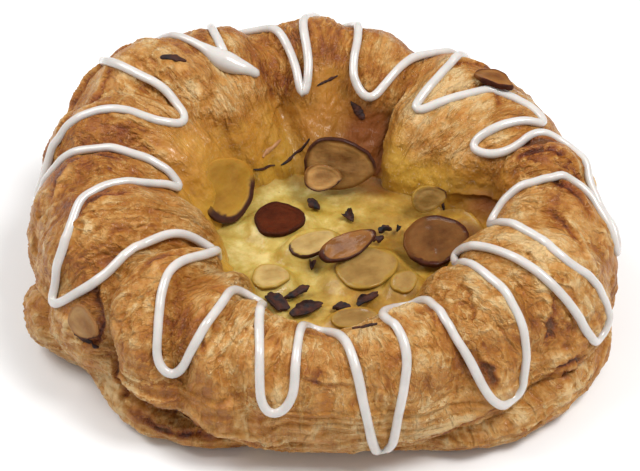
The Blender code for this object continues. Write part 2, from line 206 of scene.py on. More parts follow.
# Broken bits of almond skin, fused to the custard: middle (x, y), length, width, heading.
SKIN_BITS = [
    (-8.6, -18.4, 6.0, 3.4, 125),
    (-4.2, -15.2, 6.0, 1.6, 38),
    (-2.8, -20.2, 7.0, 2.4, 24),
    (4.4, -20.0, 3.6, 2.4, -15),
    (9.2, -17.4, 5.4, 1.6, 36),
    (-1.2, 11.0, 3.2, 1.8, -60),
    (6.0, 7.0, 2.8, 1.8, -60),
    (13.2, 2.8, 3.0, 1.2, 20),
    (15.8, 3.3, 1.4, 0.8, 70),
    (11.6, 0.3, 2.4, 0.9, 15),
    (-1.8, -7.4, 2.2, 1.0, 95),
]
BIT_CURLS = [(0.5, 14), (-0.25, -9), (0.6, 20), (0.4, -16)]  # how far they curl up, and lean in degrees

# Torn edges of the dough: the line of each over the surface (angles round the ring and round the roll),
# how far the dough on the left of the line's direction stands up over the other side, and how far back
# it slopes down.
TORN_EDGES = [
    ([(216, 4), (222, -4), (229, -6), (236, -13), (245, -17), (253, -21), (262, -26)], 2.2, 6.0),
    ([(222, -28), (227, -31), (232, -33), (238, -34), (248, -30)], 1.3, 3.5),
    ([(222, -30), (220, -14), (218.5, 0)], 1.6, 3.0),
    ([(208, 54), (211, 40), (214.5, 26), (214.5, 8), (212, -4)], 1.5, 5.0),
    ([(264, 48), (272, 41), (280, 37)], 0.6, 3.5),
    ([(286, -22), (291, -20), (297, -20), (303, -16), (308, -8), (313, -6)], 1.0, 4.0),
    ([(308, 36), (309, 20), (309.5, 6)], 0.9, 2.5),
    ([(323, -12), (325, -4), (329, -3), (332, -10)], 1.0, 2.5),
    ([(325, -20), (326.5, -11), (330, -12)], 0.9, 2.0),
    ([(323, 8), (325.5, 31), (328.5, 46), (330, 60)], 0.8, 4.0),
    ([(61, 108), (60, 125), (58.5, 140), (57, 155), (56, 170)], 2.4, 7.0),
    ([(22, 164), (18, 160), (13, 152), (8, 148)], 1.2, 4.0),
    ([(122, 160), (112, 145), (104, 124), (101, 104)], 0.7, 4.0),
    ([(143, 92), (139, 106), (134, 116), (126, 112)], 0.35, 5.0),
    ([(168, 40), (160, 52), (152, 60), (143, 62)], 1.1, 6.0),
    ([(152, 24), (147, 36), (141, 50)], 1.6, 4.0),
    ([(143, 46), (137, 60), (134, 74)], 0.6, 4.0),
    ([(164, 20), (160, 34), (157, 50)], 1.2, 4.0),
    ([(178, 104), (176, 84), (178, 62), (184, 42)], 0.8, 6.0),
    ([(192, 106), (193, 86), (196, 66), (200, 46)], 0.8, 6.0),
    ([(236, 96), (238, 78), (240, 60), (243, 44)], 0.8, 4.0),
    ([(14, 112), (12, 96), (11, 78), (9, 58)], 1.0, 5.0),
    ([(352, 96), (350, 78), (346, 60), (340, 50)], 0.8, 5.0),
    ([(30, 100), (36, 92), (42, 80)], 0.8, 4.0),
    ([(5, 104), (3, 86), (-2, 68), (-8, 50)], 1.2, 5.0),
    ([(10, 66), (6, 52), (1, 36)], 1.0, 4.0),
    ([(20, 108), (16, 92), (15, 72)], 1.0, 5.0),
    ([(47, 112), (42, 94), (40, 70)], 1.0, 5.0),
    ([(54, 96), (51, 80), (46, 60)], 0.9, 4.0),
    ([(316, 104), (313, 84), (310, 62)], 0.7, 4.0),
    ([(336, 100), (333, 82), (328, 66)], 0.7, 4.0),
    ([(218, 108), (217, 92), (219, 74)], 0.8, 5.0),
]
RING_REACH = 45.0  # millimetres to a radian round the ring, and round the roll
ROLL_REACH = 14.0

# Slivers stuck to the dough: the line of each (angles round the ring and round the roll), width and look.
SLIVERS = [
    ([(112, 168), (105, 165), (99, 160), (95, 153)], 0.7, "skin"),
    ([(129, 166), (122, 168), (115, 168)], 0.6, "skin"),
    ([(122, 162), (116, 159), (109, 154)], 1.2, "pale"),
    ([(91, 121), (87, 118), (84, 114)], 0.7, "skin"),
    ([(78, 128), (75, 133), (72, 139)], 1.6, "skin"),
    ([(139.5, 93), (137.5, 98), (135, 103)], 1.4, "skin"),
    ([(24, 168), (22.5, 173), (21.5, 178)], 0.6, "skin"),
    ([(280, 116), (283, 112), (287, 106)], 0.9, "skin"),
    ([(209, 9), (212, 5), (215, 4)], 1.1, "skin"),
]
SLIVER_HEIGHT = 0.3
SLIVER_LIFT = 0.05

COLUMNS = 1000
ROWS = 208
QUARTERS = 4

# Soft patches on the crust: angles round the ring and round the roll, how far each reaches, and how much:
# browner, yellower, darker with painted shade in the caves of the wall, or wetter (in degrees nearer the
# inner wall).
BROWNED = [
    (122, 70, 10, 30, 0.12),
    (162, 95, 6, 24, 0.10),
    (174, 70, 4, 34, 0.10),
    (100, 80, 10, 30, 0.14),
    (144, 60, 8, 40, -0.10),
    (270, 55, 34, 16, 0.07),
    (342, 80, 26, 44, -0.10),
    (40, 70, 8, 20, 0.14),
    (266, 112, 9, 10, 0.22),
    (282, 76, 6, 9, 0.22),
    (292, 96, 6, 8, 0.20),
    (289, 62, 2.5, 6, 0.25),
    (268, 51, 3, 7, 0.42),
    (250, 95, 8, 10, 0.10),
    (234, -22, 12, 9, 0.42),
    (218, -18, 3, 16, -0.25),
    (340, 120, 9, 12, 0.12),
    (12, 93, 9, 20, 0.10),
    (228, -12, 8, 10, 0.14),
    (197, 96, 14, 20, 0.12),
    (353, 84, 12, 14, 0.24),
    (356, 110, 9, 10, -0.26),
    (44, 100, 14, 16, -0.10),
    (135, 122, 16, 12, -0.22),
    (212, 96, 7, 24, -0.20),
    (234, -9, 12, 8, 0.14),
    (300, 90, 12, 16, 0.14),
    (305, -16, 16, 14, -0.22),
    (327, -14, 4, 8, 0.20),
    (186, 88, 22, 30, 0.08),
    (200, 60, 9, 40, -0.10),
    (300, 70, 10, 20, -0.10),
    (222, 60, 8, 30, -0.08),
    (270, -10, 30, 20, -0.04),
    (225, 128, 26, 22, -0.20),
    (300, 128, 42, 20, -0.18),
    (335, 90, 16, 30, -0.30),
    (50, 118, 14, 24, -0.30),
    (20, 122, 8, 14, -0.10),
]
YELLOWED = [
    (45, 150, 16, 30, 0.9),
    (20, 155, 10, 16, 0.5),
    (172, 158, 30, 22, 0.5),
    (110, 165, 16, 24, 0.5),
]
# Painted shade in the caves of the inner wall, under the lobes that overhang it.
CAVE_SHADE_SPOTS = [
    (69, 150, 12, 42, 1.3),
    (62, 168, 7, 16, 0.7),
    (13, 160, 9, 24, 1.0),
    (92, 165, 16, 20, 0.6),
    (98, 135, 12, 22, 0.25),
]
WETTED = [
    (84, 130, 16, 60, 12),
    (38, 125, 18, 60, -26),
    (128, 125, 18, 60, -14),
]

# A dent at the lower left and a bump at the lower right, in millimetres outward.
DENTED = [
    (232, -24, 12, 8, -2.0),
    (328, -16, 4.5, 9, 1.3),
]
CALM = 0.3  # share of the fine relief that is left in the calmest places
ROUGHENED = [(328, -16, 5, 12, 1.5)]

# Stretches of the roll, in degrees round it, where one part gives way to the next.
OUTER_SIDE = (-5, 30)
CREST_BEGINS = (70, 95)
INNER_WALL = (112, 150)
WET_WALL = (112, 138)
WET_RETREAT = 30  # degrees by which the wet wall starts further in at the front
YELLOW_LEVELS = (19, 26)  # the glazed wall is yellow below the first level and orange above the second
EDGE_TONES = (0.6, 0.85)  # stretch of a sheet, from 0 to 1, where its edge turns pale

# Painted shade on the custard under the hollow of the wall: middle (x, y) and reach.
CUSTARD_SHADE_SPOTS = [(11.5, 18.0, 4.5), (29.0, 2.5, 3.5)]


def unit(vectors):
    return vectors / np.linalg.norm(vectors, axis=-1, keepdims=True)


def whole_turn(count):
    return np.linspace(0, 2 * math.pi, count, endpoint=False)


def ring_points(theta, radius, level):
    return np.stack([radius * np.cos(theta), radius * np.sin(theta), level], -1)


def listed(rows, ends):
    """Rows of points in one list, with the end points last."""
    return np.concatenate([rows.reshape(-1, 3), ends])


def off_by(degrees, at):
    """How far angles are from the angle at, from -180 to 180."""
    return (degrees - at + 180) % 360 - 180


def eased(start, end, leaving, arriving, s):
    """The share s of a smooth way from start to end, with a slope at each (its rise over the whole way)."""
    first = start * (1 + 2 * s) + leaving * s
    last = end * (3 - 2 * s) + arriving * (s - 1)
    return first * (1 - s) ** 2 + last * s**2


def around(theta, rows, column):
    """The value of a column at the angle theta, on a smooth closed curve through the rows."""
    angles = np.array([row[0] for row in rows], float)
    values = np.array([row[column] for row in rows], float)
    turned = np.degrees(theta) % 360
    index = (np.searchsorted(angles, turned, side="right") - 1) % len(rows)
    angles = np.concatenate([angles[-1:] - 360, angles, angles[:2] + 360])
    values = np.concatenate([values[-1:], values, values[:2]])
    slopes = (values[2:] - values[:-2]) / (angles[2:] - angles[:-2])
    step = angles[index + 2] - angles[index + 1]
    s = (turned - angles[index + 1]) / step
    leaving, arriving = step * slopes[index], step * slopes[(index + 1) % len(rows)]
    return eased(values[index + 1], values[index + 2], leaving, arriving, s)


def roll_section(theta, phi):
    """Radius and height of the bare roll at the angle phi round it."""
    outer, crest, inner, height = (around(theta, ROLL, column) for column in (1, 2, 3, 4))
    c, s = np.cos(phi), np.sin(phi)
    radius = crest + np.where(c > 0, outer - crest, crest - inner) * c
    level = ROLL_LEVEL + np.where(s > 0, height - ROLL_LEVEL, ROLL_DROP) * s
    return radius, level


def lower_layer_radius(theta, level):
    outer, height = (around(theta, LOWER_LAYER, column) for column in (1, 2))
    half = height / 2 + 0.5
    across = np.clip((level - height + half) / half, -1, 1)
    above = np.maximum(level - height, 0)
    return outer - LOWER_ROUNDING * (1 - np.sqrt(1 - across**2)) - LOWER_FALL * above


def smooth_maximum(a, b, width):
    closeness = np.maximum(width - np.abs(a - b), 0) / width
    return np.maximum(a, b) + closeness**2 * width / 4


def fold_depth(theta, phi, narrowing=1.0):
    """How far the folds sink the roll's surface."""
    turned, lifted = np.degrees(theta), np.degrees(phi)
    share = np.clip(lifted / 180, 0, 1)
    fade = np.clip((lifted + 30) / 40, 0, 1) * np.clip((195 - lifted) / 40, 0, 1)
    depth = np.zeros(np.broadcast(turned, lifted).shape)
    for at_outer, at_crest, at_inner, deep, before, after in FOLDS:
        line = at_outer * (1 - share) * (1 - 2 * share)
        line = line + at_crest * 4 * share * (1 - share) + at_inner * share * (2 * share - 1)
        off = off_by(turned, line)
        depth = depth + deep * fade * np.exp(-((off / np.where(off < 0, before, after) / narrowing) ** 2))
    for at, up, reach, rise, deep in HOLLOWS:
        off = off_by(turned, at)
        depth = depth + deep * np.exp(-((off / reach) ** 6) - ((lifted - up) / rise) ** 2)
    return depth


def surface(theta, phi, folding=1.0):
    """A point of the pastry's surface, with the share folding of the folds' depth."""
    radius, level = roll_section(theta, phi)
    depth = folding * fold_depth(theta, phi)
    radius = radius - depth * np.cos(phi)
    level = np.maximum(level - depth * np.maximum(np.sin(phi), -0.2), 0)
    lower = lower_layer_radius(theta, level)
    seam = SEAM_DEPTH * np.exp(-(((radius - lower) / SEAM_WIDTH) ** 2)) * np.clip(level / 4, 0, 1)
    outside = smooth_maximum(radius, lower, LAYER_BLEND) - folding * seam
    tuck = around(theta, LOWER_LAYER, 3) * np.clip(1 - level / TUCK_HEIGHT, 0, 1) ** 2
    radius = np.where(phi < math.pi / 2, outside - tuck, radius)
    return ring_points(theta, radius, level)


def normal(theta, phi):
    step = 0.004
    along = surface(theta + step, phi) - surface(theta - step, phi)
    up = surface(theta, phi + step) - surface(theta, phi - step)
    return unit(np.cross(along, up))


def field(points, size, octaves=1, shift=0.0):
    """Smooth noise from about -1 to 1 at each point, with features of a size (a number or x, y, z).

    Each use has a shift of its own, so that no two noises repeat each other.
    """
    flat = (np.reshape(points, (-1, 3)) / size + shift).tolist()
    values = [noise.fractal(Vector(p), 1.0, 2.0, octaves, noise_basis="PERLIN_NEW") for p in flat]
    return np.reshape(values, np.shape(points)[:-1])


def ramp(value, low, high):
    """0 below low, 1 above high, and smooth between."""
    s = np.clip((value - low) / (high - low), 0, 1)
    return s * s * (3 - 2 * s)


def unrolled(theta, phi):
    """Seamless coordinates that run round the ring and up the roll, in millimetres."""
    outer, crest, inner, height = (around(theta, ROLL, column) for column in (1, 2, 3, 4))
    girth = (height - ROLL_LEVEL + outer - inner) / 2
    return ring_points(theta, RING_REACH, phi * girth / 1.6)


def sheets(value, edge=0.15):
    """A saw: each sheet climbs slowly from 0 to 1 and ends at a thin edge."""
    share = value - np.floor(value)
    return share * (1 - ramp(share, 1 - edge, 1))


def spots(theta, phi, rows):
    """The sum of a table's soft patches, each full at its middle and fading out at its reach."""
    total = 0 * theta
    for at_theta, at_phi, reach_theta, reach_phi, more in rows:
        off = off_by(np.degrees(theta), at_theta) / reach_theta
        up = (np.degrees(phi) - at_phi) / reach_phi
        total = total + more * np.exp(-(off**2) - up**2)
    return total


def torn_edges(theta, phi):
    """How far the torn edges lift the surface, and how near each point is to the foot (where shadow is
    painted) and the top of one.
    """
    height, crease_shadow, lip = 0 * theta, 0 * theta, 0 * theta
    half_edge, crease_at, lip_at, narrow = 0.25, -0.5, 0.7, 0.7
    uneven = 0.5 * field(unrolled(theta, phi), 2.2, 2, 81.0)
    for knots, lift, slope in TORN_EDGES:
        line = np.radians(knots) * (RING_REACH, ROLL_REACH)
        first = knots[0][0]
        across = (off_by(np.degrees(theta), first) + first) * math.radians(RING_REACH)
        up = phi * ROLL_REACH
        lengths = np.linalg.norm(np.diff(line, axis=0), axis=1)
        total, done = lengths.sum(), 0.0
        nearest, off, along = np.full(theta.shape, np.inf), 0 * theta, 0 * theta
        for start, end, length in zip(line[:-1], line[1:], lengths):
            ahead = (end - start) / length
            run = np.clip((across - start[0]) * ahead[0] + (up - start[1]) * ahead[1], 0, length)
            x, y = across - start[0] - run * ahead[0], up - start[1] - run * ahead[1]
            distance = np.hypot(x, y)
            closer = distance < nearest
            side = np.sign(ahead[0] * y - ahead[1] * x)
            nearest = np.where(closer, distance, nearest)
            off = np.where(closer, distance * side, off)
            along = np.where(closer, done + run, along)
            done += length
        off = off + uneven
        fade = np.sin(math.pi * np.clip(along / total, 0, 1)) ** 0.6
        fade = fade * (nearest < 3 * slope)
        back = np.exp(-1.6 * np.maximum(off, 0) / slope)
        height = height + lift * fade * ramp(off, -half_edge, half_edge) * back
        strength = fade * min(1, lift)
        # Painted shadow along the foot of each torn edge, under the dough that stands over it.
        crease_shadow = np.maximum(crease_shadow, strength * np.exp(-np.abs(off - crease_at) / narrow))
        lip = np.maximum(lip, strength * np.exp(-(((off - lip_at) / narrow) ** 2)))
    return height, crease_shadow, lip


def relief(theta, phi, places):
    """Lumps, wrinkles, layers and flakes: how far each point stands out, and masks for the colours.

    They fade out towards the foot, which stays on the table.
    """
    laid = unrolled(theta, phi)
    lifted = np.degrees(phi)
    inner = ramp(lifted, *INNER_WALL)
    side = 1 - ramp(lifted, *OUTER_SIDE)
    top = (1 - side) * (1 - inner)

    # Lumps of the whole roll, and noises that bend the finer forms.
    lumps = 0.9 * field(places, 13.0, 2) + 0.35 * field(places, 5.0, 2, 7.3)
    warp = field(laid, (9, 9, 16), 2, 3.1)
    bent = 2.0 * warp[..., None]
    calm = CALM + 0.7 * ramp(field(places, 15.0, 2, 91.0), -0.25, 0.25)
    calm = calm + spots(theta, phi, ROUGHENED)

    # Sheets that end across the roll, lie level on its outer side, or flake off in patches.
    across = sheets(2.6 * field(laid, (6.0, 6.0, 30.0), 2, 11.0) + 0.8 * warp)
    level = sheets(places[..., 2] / 2.2 + 1.3 * field(places, (18, 18, 9), 3, 5.0))
    patches = 2.0 * field(places + bent, (9, 9, 9), 3, 21.0)

    squiggle = field(laid + bent, (3.2, 3.2, 10.0), 2, 13.0)
    ridges = ramp(field(places, 9.0, 2, 27.0), -0.15, 0.3) * np.clip(1 - 7 * np.abs(squiggle), 0, 1)
    blisters = ramp(field(places, 2.4, 1, 33.0), 0.2, 0.6) * ramp(lifted, *CREST_BEGINS)
    rough = 0.08 * field(places, 0.9, 2, 31.0)
    layers = 0.55 * level + 0.3 * field(places, (8, 8, 1.1), 2, 9.0)
    lift, crease_shadow, lip = torn_edges(theta, phi)

    height = (1 - 0.6 * inner) * lumps + calm * top * (0.4 * across + 0.2 * blisters) + side * layers
    flakes = 0.26 * sheets(patches, 0.1) + 0.24 * ridges + rough
    height = height + (1 - 0.8 * inner) * calm * flakes + lift
    height = height + inner * 0.35 * field(places, 2.8, 2, 101.0)

    edges = top * ramp(across, *EDGE_TONES) + side * ramp(level, *EDGE_TONES)
    edges = np.maximum(edges, ramp(sheets(patches), *EDGE_TONES))
    # Painted shadow just below the edge of each sheet, passed on as the hollow mask.
    ledge_shadows = top * ramp(across, 0.3, 0.0) + side * ramp(level, 0.3, 0.0)
    masks = {"side": side, "lumps": lumps, "crease_shadow": crease_shadow, "hollow": calm * (1 - inner) * ledge_shadows}
    masks["edge"] = calm * (1 - inner) * np.clip(0.5 * edges + 0.9 * ridges, 0, 1) + 0.9 * lip
    return height * ramp(places[..., 2], 0.0, 3.0), masks


def on_dough(theta, phi, folding, lift):
    """Points at a height over the finished dough, and the directions outward from it."""
    places = surface(theta, phi, folding)
    height, _ = relief(theta, phi, places)
    outward = normal(theta, phi)
    return places + (height + lift)[:, None] * outward, outward


def mesh_object(name, points, faces, material, attributes=None, normals=None):
    mesh = bpy.data.meshes.new(name)
    mesh.from_pydata((np.reshape(points, (-1, 3)) * MILLIMETRE).tolist(), [], faces)
    mesh.validate()
    for key, values in (attributes or {}).items():
        values = np.asarray(values, np.float32)
        kind, field_name = ("FLOAT_VECTOR", "vector") if values.ndim == 2 else ("FLOAT", "value")
        layer = mesh.attributes.new(key, kind, "POINT")
        layer.data.foreach_set(field_name, values.ravel())
    mesh.shade_smooth()
    if normals is not None:
        mesh.normals_split_custom_set_from_vertices(normals.tolist())
    mesh.materials.append(material)
    piece = bpy.data.objects.new(name, mesh)
    bpy.context.scene.collection.objects.link(piece)
    return piece


def tube_faces(rows, columns, wrapped=True):
    """Faces between rows of points, closed into rings if wrapped, with a fan at each end to a last point."""
    faces = []
    first, last = rows * columns, rows * columns + 1
    end = (rows - 1) * columns
    for column in range(columns if wrapped else columns - 1):
        after = (column + 1) % columns
        for row in range(rows - 1):
            a, b = row * columns + column, row * columns + after
            faces.append((a, b, b + columns, a + columns))
        faces.append((after, column, first))
        faces.append((end + column, end + after, last))
    return faces


class Nodes:
    """A material's node tree, with short calls to add and link nodes."""

    def __init__(self, name):
        self.material = bpy.data.materials.new(name)
        self.material.use_nodes = True
        self.tree = self.material.node_tree
        self.shader = self.tree.nodes["Principled BSDF"]

    def plug(self, value, socket):
        if isinstance(value, bpy.types.NodeSocket):
            self.tree.links.new(value, socket)
        else:
            socket.default_value = value

    def set(self, **values):
        """Give the shader's sockets constants, or link nodes to them."""
        for name, value in values.items():
            self.plug(value, self.shader.inputs[name.replace("_", " ")])

    def add(self, kind, settings=None, **inputs):
        node = self.tree.nodes.new("ShaderNode" + kind)
        for name, value in (settings or {}).items():
            setattr(node, name, value)
        for name, value in inputs.items():
            self.plug(value, node.inputs[name.replace("_", " ")])
        return node

    def attribute(self, name, output="Fac"):
        return self.add("Attribute", {"attribute_name": name}).outputs[output]

    def place(self):
        return self.add("TexCoord").outputs["Object"]

    def stretched(self, vector, scale):
        return self.add("Mapping", None, Vector=vector, Scale=scale).outputs["Vector"]

    def noise(self, vector, scale, detail=3.0, rough=0.55):
        node = self.add("TexNoise", None, Vector=vector, Scale=scale, Detail=detail, Roughness=rough)
        return node.outputs["Fac"]

    def ridged(self, vector, scale, detail):
        """Noise of thin sharp crests, from 0 to about 1."""
        node = self.add(
            "TexNoise",
            {"noise_type": "RIDGED_MULTIFRACTAL", "normalize": False},
            Vector=self.stretched(vector, scale),
            Scale=1.0,
            Detail=detail,
            Roughness=0.6,
            Offset=1.0,
            Gain=1.6,
        )
        return self.remap(node.outputs["Fac"], 0.6, 2.4)

    def total(self, *terms):
        """The sum of the terms, each of them a value or a value and its weight."""
        value = 0.0
        for term in terms:
            number, weight = term if isinstance(term, tuple) else (term, 1.0)
            node = self.add("Math", {"operation": "MULTIPLY_ADD"})
            for plugged, socket in zip((number, weight, value), node.inputs):
                self.plug(plugged, socket)
            value = node.outputs[0]
        return value

    def remap(self, value, low, high, to_low=0.0, to_high=1.0):
        node = self.add("MapRange", {"interpolation_type": "SMOOTHSTEP"}, Value=value)
        for key, number in (("From Min", low), ("From Max", high), ("To Min", to_low), ("To Max", to_high)):
            node.inputs[key].default_value = number
        return node.outputs["Result"]

    def mix(self, share, a, b):
        """Two colours mixed, b by its share, which is kept from 0 to 1."""
        node = self.add("Mix", {"data_type": "RGBA", "clamp_factor": True})
        self.plug(share, node.inputs["Factor"])
        for colour, key in ((a, "A"), (b, "B")):
            self.plug(colour if isinstance(colour, bpy.types.NodeSocket) else (*colour, 1), node.inputs[key])
        return node.outputs["Result"]

    def ramp(self, value, stops):
        node = self.add("ValToRGB", None, Fac=value)
        points = node.color_ramp.elements
        while len(points) < len(stops):
            points.new(1.0)
        for point, (position, colour) in zip(points, stops):
            point.position = position
            point.color = (*colour, 1)
        return node.outputs["Color"]

    def bump(self, height, distance, strength):
        node = self.add("Bump", None, Height=height, Distance=distance, Strength=strength)
        return node.outputs["Normal"]


# The colours of the crust from palest to darkest, of the glazed wall, and of the painted shade in its caves.
CRUST_TONES = [
    (0.0, (0.62, 0.41, 0.185)),
    (0.25, (0.50, 0.250, 0.068)),
    (0.5, (0.37, 0.139, 0.019)),
    (0.72, (0.25, 0.072, 0.010)),
    (0.88, (0.17, 0.036, 0.007)),
    (1.0, (0.08, 0.017, 0.005)),
]
GLAZE_ORANGE = (0.45, 0.180, 0.019)
GLAZE_YELLOW = (0.50, 0.265, 0.026)
GLAZE_PALE = (0.58, 0.36, 0.075)
CAVE_SHADE = (0.16, 0.042, 0.003)


def crust_material():
    """Baked flaky dough: golden to reddish brown as it has baked, wet and orange on the inner wall, with
    painted shade in its caves, at the foot of torn edges and just below the edges of sheets.
    """
    n = Nodes("crust")
    place = n.place()
    laid = n.attribute("laid", "Vector")
    warp = n.add("TexNoise", None, Vector=laid, Scale=0.16, Detail=2.0).outputs["Color"]
    bending = n.add("VectorMath", {"operation": "MULTIPLY_ADD"})
    for value, socket in zip((warp, (3.0, 3.0, 3.0), laid), bending.inputs):
        n.plug(value, socket)
    bent = bending.outputs[0]
    wet, cave_shade, side = (n.attribute(name) for name in ("wet", "cave_shade", "side"))
    top = n.total(1.0, (side, -1.0))
    grain = n.noise(place, 1300, 3, 0.6)
    crinkle = n.ridged(bent, (0.36, 0.36, 0.20), 5.0)
    mottle = n.noise(place, 190, 4, 0.6)
    streak = n.noise(n.stretched(bent, (0.7, 0.7, 0.09)), 1.0, 4, 0.55)

    # Thin sheets of dough: contour lines of a slow noise over the roll, and level ones low on the side.
    folded = n.total((n.noise(n.stretched(bent, (0.13, 0.13, 0.035)), 1.0, 3, 0.5), 15.0))
    stacked = n.total((n.noise(n.stretched(place, (22, 22, 130)), 1.0, 4, 0.55), 13.0))
    count = n.total((folded, top), (stacked, side), n.remap(grain, 0.3, 0.7, -0.12, 0.12))
    sheet = n.add("Math", {"operation": "FRACT"}, Value=count).outputs[0]
    split = n.remap(n.noise(place, 85, 3), 0.40, 0.58)
    edge = n.total((n.remap(sheet, 0.62, 0.95), split))
    # Painted shadow just below the edge of each sheet.
    shade = n.total((n.remap(sheet, 0.0, 0.22, 1.0, 0.0), split))

    # Browning, darkened by the painted shadow at the foot of torn edges and just below the edges of sheets.
    brown = n.total(
        n.attribute("brown"),
        n.remap(mottle, 0.25, 0.75, -0.24, 0.24),
        n.remap(streak, 0.3, 0.7, -0.05, 0.05),
        (n.attribute("edge"), -0.34),
        (n.attribute("crease_shadow"), 0.65),
        (edge, -0.20),
        (shade, 0.14),
        (crinkle, -0.21),
        n.remap(grain, 0.3, 0.7, 0.03, 0.11),
    )
    glazed = n.mix(n.attribute("yellow"), GLAZE_ORANGE, GLAZE_YELLOW)
    glazed = n.mix(n.remap(mottle, 0.35, 0.7, 0.0, 0.30), glazed, GLAZE_PALE)
    # Painted shade in the caves of the wall.
    glazed = n.mix(cave_shade, glazed, CAVE_SHADE)
    colour = n.mix(n.total(wet, n.remap(mottle, 0.3, 0.7, -0.12, 0.12)), n.ramp(brown, CRUST_TONES), glazed)

    dry = n.total(1.0, (wet, -0.82))
    fine = n.noise(place, 420, 3)
    flakes = n.total((sheet, split))
    baked = n.total((grain, 0.22), (streak, 0.12), (fine, 0.5), (crinkle, 0.55), (flakes, 0.5))
    lumpy = n.total((n.noise(place, 240, 3), wet))
    height = n.total((baked, dry), (lumpy, 0.55))
    drops = n.remap(n.noise(place, 700, 2), 0.45, 0.75, 0.0, 2.0)
    n.set(
        Base_Color=colour,
        Roughness=n.total(n.remap(mottle, 0.3, 0.7, 0.38, 0.54), (wet, -0.06), (cave_shade, 0.25)),
        Normal=n.bump(height, 0.0012, 0.9),
        Coat_Normal=n.bump(n.total(drops, height), 0.0009, 0.8),
        Coat_Weight=n.total((n.remap(wet, 0.0, 1.0, 0.30, 0.55), n.remap(cave_shade, 0.0, 1.0, 1.0, 0.15))),
        Coat_Roughness=0.10,
        Specular_IOR_Level=0.2,
        Subsurface_Weight=0.06,
        Subsurface_Scale=0.0012,
    )
    return n.material


# The custard's colours where it is pale and where it is amber (the amber partly painted shade beside the
# wall), from dark to light, and its painted shade.
CUSTARD_PALE = [(0.36, (0.36, 0.220, 0.026)), (0.5, (0.48, 0.345, 0.080)), (0.62, (0.66, 0.54, 0.22))]
CUSTARD_AMBER_AND_SHADE = [(0.36, (0.20, 0.092, 0.009)), (0.5, (0.31, 0.152, 0.013)), (0.62, (0.44, 0.25, 0.036))]
CUSTARD_SHADE = (0.15, 0.048, 0.004)
CUSTARD_SPECKS = (0.16, 0.06, 0.015)


def custard_material():
    n = Nodes("custard")
    place = n.place()
    wide = n.noise(place, 70, 2)
    cloud = n.noise(place, 260, 4, 0.6)
    tone = n.total((wide, 0.4), (cloud, 0.6))
    # Amber towards the right and along the back rim: partly the custard's own amber, partly painted shade
    # beside the wall.
    share = n.total(n.attribute("amber"), n.remap(wide, 0.3, 0.7, -0.25, 0.25))
    colour = n.mix(share, n.ramp(tone, CUSTARD_PALE), n.ramp(tone, CUSTARD_AMBER_AND_SHADE))
    # Painted shade on the custard under the hollow of the wall.
    colour = n.mix(n.attribute("deep"), colour, CUSTARD_SHADE)
    specks = n.remap(n.noise(place, 1900, 2), 0.70, 0.76, 0.0, 0.6)
    height = n.total(cloud, (n.noise(place, 1100, 3), 0.3))
    n.set(Base_Color=n.mix(specks, colour, CUSTARD_SPECKS), Normal=n.bump(height, 0.0007, 0.6))
    n.set(Roughness=0.5, Specular_IOR_Level=0.25, Coat_Weight=0.2, Coat_Roughness=0.08)
    n.set(Subsurface_Weight=0.25, Subsurface_Scale=0.002)
    return n.material


def icing_material():
    n = Nodes("icing")
    cloud = n.noise(n.place(), 260, 3)
    colour = n.ramp(cloud, [(0.3, (0.53, 0.495, 0.46)), (0.7, (0.62, 0.585, 0.55))])
    n.set(Base_Color=colour, Normal=n.bump(cloud, 0.0004, 0.3))
    n.set(Roughness=0.25, Coat_Weight=0.5, Coat_Roughness=0.08)
    n.set(Subsurface_Weight=0.15, Subsurface_Scale=0.001)
    return n.material


# The darker and lighter tone of each kind of slice, its tone where it sinks into what it lies on, its gloss.
ALMOND_COLOURS = {
    "amber": ((0.14, 0.056, 0.013), (0.46, 0.245, 0.075), (0.17, 0.070, 0.012), 0.25),
    "clear": ((0.29, 0.130, 0.013), (0.44, 0.235, 0.026), (0.38, 0.180, 0.017), 0.3),
    "skin": ((0.035, 0.007, 0.003), (0.105, 0.022, 0.007), (0.040, 0.009, 0.004), 0.05),
    "pale": ((0.18, 0.086, 0.014), (0.36, 0.215, 0.060), (0.31, 0.175, 0.022), 0.3),
    "cream": ((0.27, 0.150, 0.035), (0.52, 0.360, 0.130), (0.34, 0.210, 0.030), 0.35),
    "brown": ((0.13, 0.042, 0.009), (0.31, 0.135, 0.034), (0.15, 0.050, 0.010), 0.12),
    "dark": ((0.070, 0.023, 0.005), (0.18, 0.074, 0.019), (0.12, 0.042, 0.008), 0.10),
    "baked": ((0.22, 0.10, 0.035), (0.38, 0.22, 0.090), (0.24, 0.11, 0.035), 0.15),
}
RIM_SKIN = ((0.016, 0.006, 0.004), (0.080, 0.020, 0.009))
BIT_TONES = [(0.35, (0.012, 0.011, 0.013)), (0.7, (0.075, 0.020, 0.009))]
SLIVER_TONES = [(0.3, (0.50, 0.26, 0.11)), (0.7, (0.30, 0.12, 0.04))]


